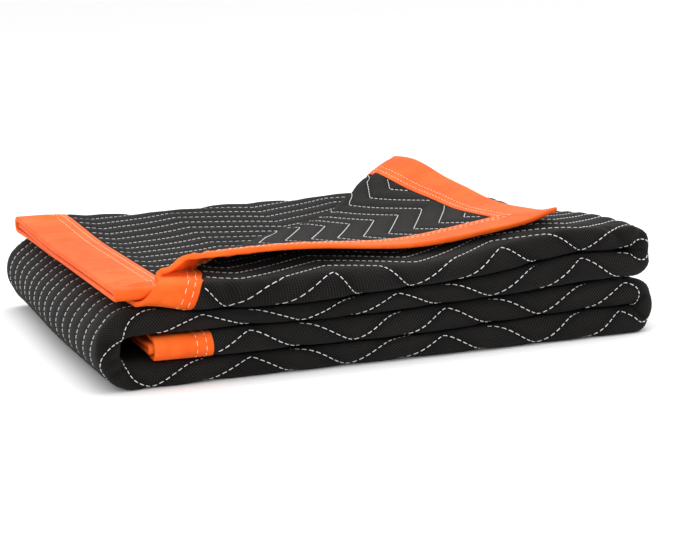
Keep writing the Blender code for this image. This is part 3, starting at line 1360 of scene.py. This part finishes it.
@dataclass(frozen=True)
class ClothFinish:
    """Black woven cloth: dark between its yarns, with pale yarn crossings, painted shade in the
    seams and creases, and a paler crown on each puff that is partly wear and partly painted
    highlight.
    """

    ground: Colour = (0.0040, 0.0036, 0.0034)
    yarn: Colour = (0.055, 0.051, 0.048)
    # Paler colour of the puffs' crowns: partly wear, partly painted highlight.
    worn_highlight: Colour = (0.013, 0.012, 0.011)
    yarn_period: float = 0.0019
    yarn_slant: float = math.radians(45)
    yarn_edges: tuple[float, float] = (0.30, 0.95)
    yarn_depth: float = 0.0004
    yarn_relief: float = 0.8
    patch_scale: float = 14.0
    patch_edges: tuple[float, float] = (0.3, 0.7)
    patch_share: tuple[float, float] = (0.35, 0.85)
    # Painted shade: how far the yarn crossings fade in the seams and creases.
    seam_shade_edges: tuple[float, float] = (0.0, 0.8)
    seam_shade_share: tuple[float, float] = (0.25, 1.0)
    lint_scale: float = 60.0
    lint_edges: tuple[float, float] = (0.4, 0.7)
    lint_share: tuple[float, float] = (0.2, 1.0)
    # Partly wear and partly painted highlight on the puffs' crowns.
    wear_highlight_edges: tuple[float, float] = (0.2, 1.0)
    wear_highlight_share: tuple[float, float] = (0.0, 0.4)
    roughness: tuple[float, float] = (0.95, 0.75)
    specular: float = 0.12
    sheen: float = 0.03
    sheen_roughness: float = 0.5

    def material(self) -> bpy.types.Material:
        """Builds the finish.

        Returns:
            The material.
        """
        s = Shader("black_woven_cloth")
        one = s.bands(self.yarn_slant, self.yarn_period)
        other = s.bands(-self.yarn_slant, self.yarn_period)
        crossings = s.math("MULTIPLY", one, other)
        patches = s.noise(s.object_place(), self.patch_scale)
        yarns = s.spread(crossings, *self.yarn_edges, (0.0, 1.0))
        puff = s.add("ShaderNodeAttribute", attribute_name="puff").outputs["Fac"]
        patches = s.spread(patches, *self.patch_edges, self.patch_share)
        # Painted shade in the seams and creases: the yarn crossings fade where the puff is low.
        raised = s.spread(puff, *self.seam_shade_edges, self.seam_shade_share)
        share = s.math("MULTIPLY", s.math("MULTIPLY", yarns, patches), raised)
        colour = s.blend(share, self.ground, self.yarn)
        lint = s.noise(s.object_place(), self.lint_scale)
        lint = s.spread(lint, *self.lint_edges, self.lint_share)
        # Partly wear and partly painted highlight: the puffs' crowns take more of the paler worn
        # colour, mottled by the lint noise, and the seams and creases take none.
        wear_and_highlight = s.math("MULTIPLY", s.spread(puff, *self.wear_highlight_edges, self.wear_highlight_share), lint)
        s.join(s.blend(wear_and_highlight, colour, self.worn_highlight), s.principled.inputs["Base Color"])
        s.join(s.spread(crossings, 0.0, 1.0, self.roughness), s.principled.inputs["Roughness"])
        s.bump(crossings, self.yarn_depth, self.yarn_relief)
        s.set(
            Specular_IOR_Level=self.specular,
            Sheen_Weight=self.sheen,
            Sheen_Roughness=self.sheen_roughness,
        )
        return s.material


@dataclass(frozen=True)
class TapeFinish:
    """Orange tape: fine ribs, with paler peach patches of painted highlight laid at random, and
    deeper patches.
    """

    orange: Colour = (0.82, 0.100, 0.008)
    # Painted highlight: paler peach, laid in random patches.
    peach_highlight: Colour = (0.88, 0.150, 0.020)
    deep: Colour = (0.66, 0.060, 0.004)
    rib_period: float = 0.0009
    rib_depth: float = 0.00015
    rib_relief: float = 0.5
    patch_scale: float = 18.0
    patch_edges: tuple[float, float] = (0.35, 0.7)
    grime_scale: float = 70.0
    grime_detail: float = 5.0
    grime_edges: tuple[float, float] = (0.5, 0.8)
    grime_share: tuple[float, float] = (0.0, 0.5)
    roughness: tuple[float, float] = (0.62, 0.42)
    specular: float = 0.12

    def material(self) -> bpy.types.Material:
        """Builds the finish.

        Returns:
            The material.
        """
        s = Shader("orange_woven_tape")
        one = s.bands(0.0, self.rib_period)
        other = s.bands(math.radians(90), self.rib_period)
        ribs = s.math("MULTIPLY", one, other)
        # Painted highlight: random patches of paler peach.
        patches = s.noise(s.object_place(), self.patch_scale)
        patches = s.spread(patches, *self.patch_edges, (0.0, 1.0))
        colour = s.blend(patches, self.orange, self.peach_highlight)
        grime = s.noise(s.object_place(), self.grime_scale, self.grime_detail)
        grime = s.spread(grime, *self.grime_edges, self.grime_share)
        colour = s.blend(grime, colour, self.deep)
        s.join(colour, s.principled.inputs["Base Color"])
        s.join(s.spread(ribs, 0.0, 1.0, self.roughness), s.principled.inputs["Roughness"])
        s.bump(ribs, self.rib_depth, self.rib_relief)
        s.set(Specular_IOR_Level=self.specular)
        return s.material


@dataclass(frozen=True)
class ThreadFinish:
    """Pale sewing thread."""

    name: str
    colour: Colour
    shade: Colour
    twist_scale: float = 900.0
    twist_detail: float = 2.0
    twist_edges: tuple[float, float] = (0.35, 0.65)
    twist_depth: float = 0.0002
    twist_relief: float = 0.4
    roughness: float = 0.55

    def material(self) -> bpy.types.Material:
        """Builds the finish.

        Returns:
            The material.
        """
        s = Shader(self.name)
        twist = s.noise(s.object_place(), self.twist_scale, self.twist_detail)
        strands = s.spread(twist, *self.twist_edges, (0.0, 1.0))
        colour = s.blend(strands, self.colour, self.shade)
        s.join(colour, s.principled.inputs["Base Color"])
        s.bump(twist, self.twist_depth, self.twist_relief)
        s.set(Roughness=self.roughness)
        return s.material


@dataclass(frozen=True)
class Softbox:
    """A square soft light."""

    name: str
    place: tuple[float, float, float]
    size: float
    power: float

    def build(self, target: Vector) -> bpy.types.Object:
        """Makes the light.

        Args:
            target: The point that it faces.

        Returns:
            The light.
        """
        data = bpy.data.lights.new(self.name, "AREA")
        data.size = self.size
        data.energy = self.power
        lamp = bpy.data.objects.new(self.name, data)
        bpy.context.scene.collection.objects.link(lamp)
        place = Vector(self.place)
        aim = (target - place).to_track_quat("-Z", "Y")
        lamp.matrix_world = Matrix.Translation(place) @ aim.to_matrix().to_4x4()
        return lamp


@dataclass
class Studio:
    """A pale floor, soft light from all round, and the camera."""

    floor_radius: float = 14.0
    floor_sides: int = 96
    floor_colour: Colour = (0.93, 0.93, 0.93)
    floor_shade: Colour = (0.80, 0.80, 0.80)
    floor_patch_scale: float = 3.0
    floor_patch_edges: tuple[float, float] = (0.3, 0.7)
    floor_patch_share: tuple[float, float] = (0.0, 0.04)
    floor_roughness: float = 0.9
    floor_specular: float = 0.1
    light_target: tuple[float, float, float] = (0.0, 0.0, 0.08)
    softboxes: tuple[Softbox, ...] = (
        Softbox("overhead_softbox", (0.2, 0.3, 2.2), 2.4, 32.0),
        Softbox("front_softbox", (-1.4, -2.2, 1.3), 1.6, 12.0),
        Softbox("right_softbox", (2.2, -1.0, 1.2), 1.6, 8.0),
    )
    world_colour: Colour = (1.0, 1.0, 1.0)
    world_strength: float = 1.05
    camera_place: tuple[float, float, float] = (-0.6061, -2.0320, 0.4031)
    azimuth: float = math.radians(-17.212)
    elevation: float = math.radians(13.599)
    roll: float = math.radians(-3.059)
    aim_up: float = math.radians(3.89)
    focal: float = 2300.6
    frame_width: float = 679.0
    sensor: float = 36.0
    far_clip: float = 100.0

    def build_floor(self) -> bpy.types.Object:
        """Makes a wide plain disc.

        Returns:
            The floor.
        """
        bpy.ops.object.select_all(action="DESELECT")
        bpy.ops.mesh.primitive_circle_add(
            vertices=self.floor_sides, radius=self.floor_radius, fill_type="NGON"
        )
        floor = bpy.context.object
        floor.name = "studio_floor"
        s = Shader("pale_floor")
        tone = s.noise(s.object_place(), self.floor_patch_scale)
        patches = s.spread(tone, *self.floor_patch_edges, self.floor_patch_share)
        colour = s.blend(patches, self.floor_colour, self.floor_shade)
        s.join(colour, s.principled.inputs["Base Color"])
        s.set(Roughness=self.floor_roughness, Specular_IOR_Level=self.floor_specular)
        floor.data.materials.append(s.material)
        return floor

    def build_camera(self) -> bpy.types.Object:
        """Makes the camera, at the photograph's place and angle.

        Returns:
            The camera.
        """
        sin_a, cos_a = math.sin(self.azimuth), math.cos(self.azimuth)
        sin_e, cos_e = math.sin(self.elevation), math.cos(self.elevation)
        forward = Vector((-sin_a * cos_e, cos_a * cos_e, -sin_e))
        level = Vector((cos_a, sin_a, 0.0))
        upright = level.cross(forward)
        right = level * math.cos(self.roll) + upright * math.sin(self.roll)
        up = upright * math.cos(self.roll) - level * math.sin(self.roll)
        raised = forward * math.cos(self.aim_up) + up * math.sin(self.aim_up)
        up = up * math.cos(self.aim_up) - forward * math.sin(self.aim_up)
        data = bpy.data.cameras.new("photo_camera")
        data.sensor_width = self.sensor
        data.lens = self.focal * self.sensor / self.frame_width
        data.clip_end = self.far_clip
        camera = bpy.data.objects.new("photo_camera", data)
        bpy.context.scene.collection.objects.link(camera)
        turn = Matrix((right, up, -raised)).transposed().to_4x4()
        camera.matrix_world = Matrix.Translation(self.camera_place) @ turn
        bpy.context.scene.camera = camera
        return camera

    def build_world(self) -> None:
        """Makes the light from all round."""
        world = bpy.data.worlds.new("studio_world")
        world.use_nodes = True
        background = world.node_tree.nodes["Background"]
        background.inputs["Color"].default_value = (*self.world_colour, 1.0)
        background.inputs["Strength"].default_value = self.world_strength
        bpy.context.scene.world = world

    def build(self) -> None:
        """Makes the camera, the floor and the lights."""
        self.build_camera()
        self.build_floor()
        for softbox in self.softboxes:
            softbox.build(Vector(self.light_target))
        self.build_world()
        bpy.context.scene.view_settings.view_transform = "Standard"


TUGS = (
    Tug((0.048, 0.446), (-0.0095, 0.0, 0.0), (0.034, 0.026)),
    Tug((0.000, 0.000), (0.0015, 0.0, 0.0060), (0.026, 0.026)),
    Tug((0.205, 0.000), (0.0, 0.0, 0.0085), (0.055, 0.070)),
    Tug((1.990, 0.461), (-0.0060, 0.0, 0.0), (0.080, 0.060)),
)

CLOTH_CREASES = (
    Crease((0.064, 0.447), (0.086, 0.470), 0.0030, 0.0042),
    Crease((0.094, 0.444), (0.124, 0.462), 0.0022, 0.0045),
    Crease((1.018, 0.448), (1.034, 0.474), 0.0032, 0.0042),
    Crease((1.046, 0.446), (1.050, 0.473), 0.0028, 0.0040),
    Crease((1.068, 0.450), (1.058, 0.474), 0.0028, 0.0042),
    Crease((0.440, 0.436), (0.470, 0.470), 0.0032, 0.0055),
    Crease((0.482, 0.438), (0.492, 0.474), 0.0034, 0.0045),
    Crease((0.514, 0.444), (0.502, 0.474), 0.0032, 0.0048),
    Crease((1.546, 0.446), (1.556, 0.474), 0.0030, 0.0042),
    Crease((1.588, 0.444), (1.576, 0.474), 0.0030, 0.0048),
    Crease((0.070, 1.300), (0.170, 1.180), 0.0014, 0.0090),
    Crease((0.240, 1.120), (0.330, 1.050), -0.0014, 0.0110),
    Crease((0.560, 0.452), (0.640, 0.466), 0.0018, 0.0070),
    Crease((0.820, 0.452), (0.900, 0.464), -0.0016, 0.0070),
    Crease((1.140, 0.470), (1.230, 0.454), 0.0018, 0.0070),
)

TAPE_CREASES = (
    Crease((0.000, 0.424), (0.050, 0.414), -0.0022, 0.0032),
    Crease((0.000, 0.408), (0.048, 0.402), -0.0017, 0.0030),
    Crease((0.000, 0.391), (0.040, 0.386), -0.0018, 0.0032),
    Crease((0.000, 0.374), (0.036, 0.371), -0.0014, 0.0030),
    Crease((0.000, 0.356), (0.030, 0.353), -0.0015, 0.0032),
    Crease((0.000, 0.335), (0.026, 0.334), -0.0010, 0.0032),
    Crease((0.004, 0.440), (0.050, 0.452), -0.0018, 0.0034),
    Crease((0.002, 1.376), (0.050, 1.350), -0.0022, 0.0038),
    Crease((0.000, 1.352), (0.038, 1.322), -0.0018, 0.0036),
    Crease((0.004, 0.952), (0.050, 0.968), -0.0020, 0.0040),
    Crease((0.010, 0.010), (0.050, 0.050), -0.0014, 0.0028),
    Crease((0.000, 0.078), (0.040, 0.070), -0.0012, 0.0032),
    Crease((0.000, 0.118), (0.036, 0.112), -0.0010, 0.0032),
    Crease((2.028, 0.452), (1.992, 0.466), -0.0018, 0.0032),
)


@dataclass
class MovingPad:
    """The whole dressed pad."""

    tugs: tuple[Tug, ...] = TUGS
    cloth_creases: tuple[Crease, ...] = CLOTH_CREASES
    tape_creases: tuple[Crease, ...] = TAPE_CREASES
    cloth_finish: ClothFinish = ClothFinish()
    tape_finish: TapeFinish = TapeFinish()
    white: ThreadFinish = ThreadFinish("white_thread", (0.86, 0.85, 0.83), (0.62, 0.61, 0.60))
    cream: ThreadFinish = ThreadFinish("cream_thread", (0.95, 0.62, 0.40), (0.80, 0.42, 0.22))

    def build(self) -> list[bpy.types.Object]:
        """Builds and dresses every piece, and ties each to the frame.

        Returns:
            The pieces.
        """
        fold = PadFold(tugs=self.tugs)
        quilting = Quilting(fold, creases=self.cloth_creases)
        cloth = QuiltedCloth(fold, quilting, Patchwork(fold)).build()
        binding_maker = EdgeBinding(fold, quilting, creases=self.tape_creases)
        binding = binding_maker.build()
        sewing = Sewing(fold, quilting, binding_maker)
        zigzags = sewing.build_quilting()
        rows = sewing.build_binding_rows()
        pieces = [cloth, binding, zigzags, rows]
        finishes = [self.cloth_finish, self.tape_finish, self.white, self.cream]
        for piece, finish in zip(pieces, finishes):
            piece.data.materials.append(finish.material())
        for piece in pieces:
            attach(piece, "root")
        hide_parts("quilted_pad")
        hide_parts("edge_binding")
        return pieces


def main() -> None:
    """Builds the pad in its studio."""
    logging.basicConfig(level=logging.INFO, format="%(message)s")
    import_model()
    bpy.ops.object.select_all(action="DESELECT")
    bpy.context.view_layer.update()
    pieces = MovingPad().build()
    Studio().build()
    for piece in pieces:
        triangles = sum(len(polygon.vertices) - 2 for polygon in piece.data.polygons)
        log.info("%s: %d triangles", piece.name, triangles)


if __name__ == "__main__":
    main()
